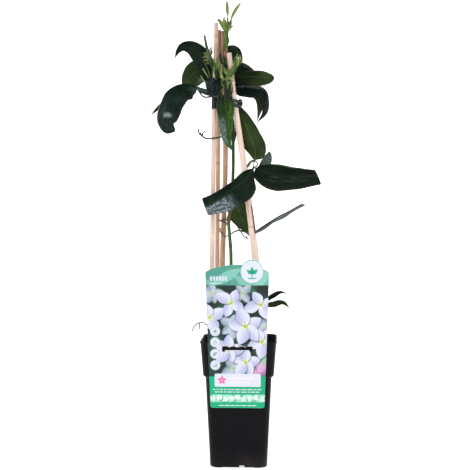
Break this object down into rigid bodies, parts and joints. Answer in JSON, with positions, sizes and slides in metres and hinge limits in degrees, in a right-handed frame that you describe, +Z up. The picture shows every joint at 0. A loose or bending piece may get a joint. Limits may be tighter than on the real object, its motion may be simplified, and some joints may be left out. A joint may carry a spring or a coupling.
{
  "type": "potted armand clematis",
  "caption": "Young evergreen climber in a tall square nursery pot: leaning bamboo canes, long leathery leaves, bud shoots and a slotted picture label.",
  "frame": {"origin": "middle of the pot's underside, on the floor", "axes": "+Z up along the plant, -Y towards the side with the label, +X to the right of the label seen from the front"},
  "size_m": [0.2748, 0.1703, 0.742],
  "materials": {
    "pot": "satin black, slightly bluish",
    "soil": "crumbly, matte",
    "label": "printed, semi-gloss",
    "cane": "pale bamboo with knots",
    "tie": "black tape",
    "stem": "smooth green stem",
    "leaf": "glossy dark green, leathery",
    "shoot": "fresh green, downy",
    "stalk": "dry brown stalk"
  },
  "bodies": {
    "root": {"pot": "pot", "soil": "soil", "label": "label", "cane_tie": "tie", "vine_stem": "stem", "stalk_clasp": "stalk", "low_shoot": "leaf", "cane_front_left": "cane", "cane_rear_left": "cane", "cane_centre": "cane", "cane_right": "cane", "leaf_upper_left": "leaf", "leaf_lower_left": "leaf", "leaf_small_dark": "leaf", "leaf_upper_right": "leaf", "leaf_right_drooping": "leaf", "leaf_front": "leaf", "leaf_three_part": "leaf", "leaf_behind": "leaf", "leaf_rear_right": "leaf", "leaf_rear_left": "leaf", "leaf_rear": "leaf", "leaf_rear_low": "leaf", "leaf_edge_on": "leaf", "shoot_top": "shoot", "shoot_left": "shoot", "shoot_right": "shoot", "tendril_left": "stalk", "tendril_inner": "stalk", "tendril_low": "stalk"}
  },
  "joints": []
}
